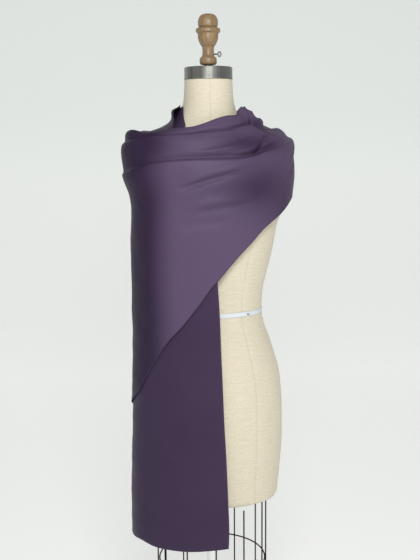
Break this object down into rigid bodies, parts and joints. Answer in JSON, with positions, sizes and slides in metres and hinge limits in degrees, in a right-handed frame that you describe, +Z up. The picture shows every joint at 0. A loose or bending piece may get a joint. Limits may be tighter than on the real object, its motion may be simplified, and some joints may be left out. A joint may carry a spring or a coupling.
{
  "type": "evening stole draped on a limbless dress form",
  "caption": "Satin evening stole wrapped over both shoulders and across the chest of a limbless dress form on a pole stand.",
  "frame": {"origin": "centre of the round base's underside, on the floor under the pole", "axes": "+Z up the pole to the finial, -Y out of the form's chest, +X to the form's own left"},
  "size_m": [0.45, 0.45, 1.6917],
  "materials": {
    "satin": "dark purple satin",
    "linen": "natural linen over a padded shell",
    "steel": "brushed",
    "wood": "turned and oiled",
    "tape": "woven cotton tape",
    "pin": "black pin head",
    "wire": "black",
    "dark_steel": "dark grey",
    "chrome": "chromed steel tube"
  },
  "bodies": {
    "stand": {"front_wrap": "satin", "tail": "satin", "back_wrap": "satin", "front_panel": "satin", "neck_fold": "satin", "torso": "linen", "neck_cap": "steel", "finial": "wood", "finial_stem": "dark_steel", "waist_tape": "tape", "waist_pin": "pin", "pole": "chrome", "base": "dark_steel", "cage_ring_upper": "wire", "cage_ring_lower": "wire", "cage_wire_01": "wire", "cage_wire_02": "wire", "cage_wire_03": "wire", "cage_wire_04": "wire", "cage_wire_05": "wire", "cage_wire_06": "wire", "cage_wire_07": "wire", "cage_wire_08": "wire", "cage_wire_09": "wire", "cage_wire_10": "wire", "cage_wire_11": "wire", "cage_wire_12": "wire"},
    "thumb_screw": {"thumb_screw": "steel"}
  },
  "joints": [
    {"name": "thumb_screw_turn", "type": "hinge", "parent": "stand", "child": "thumb_screw", "pos_m": [0.024, 0, 1.6075], "axis": [1, 0, 0], "range_deg": [-180, 180]}
  ]
}
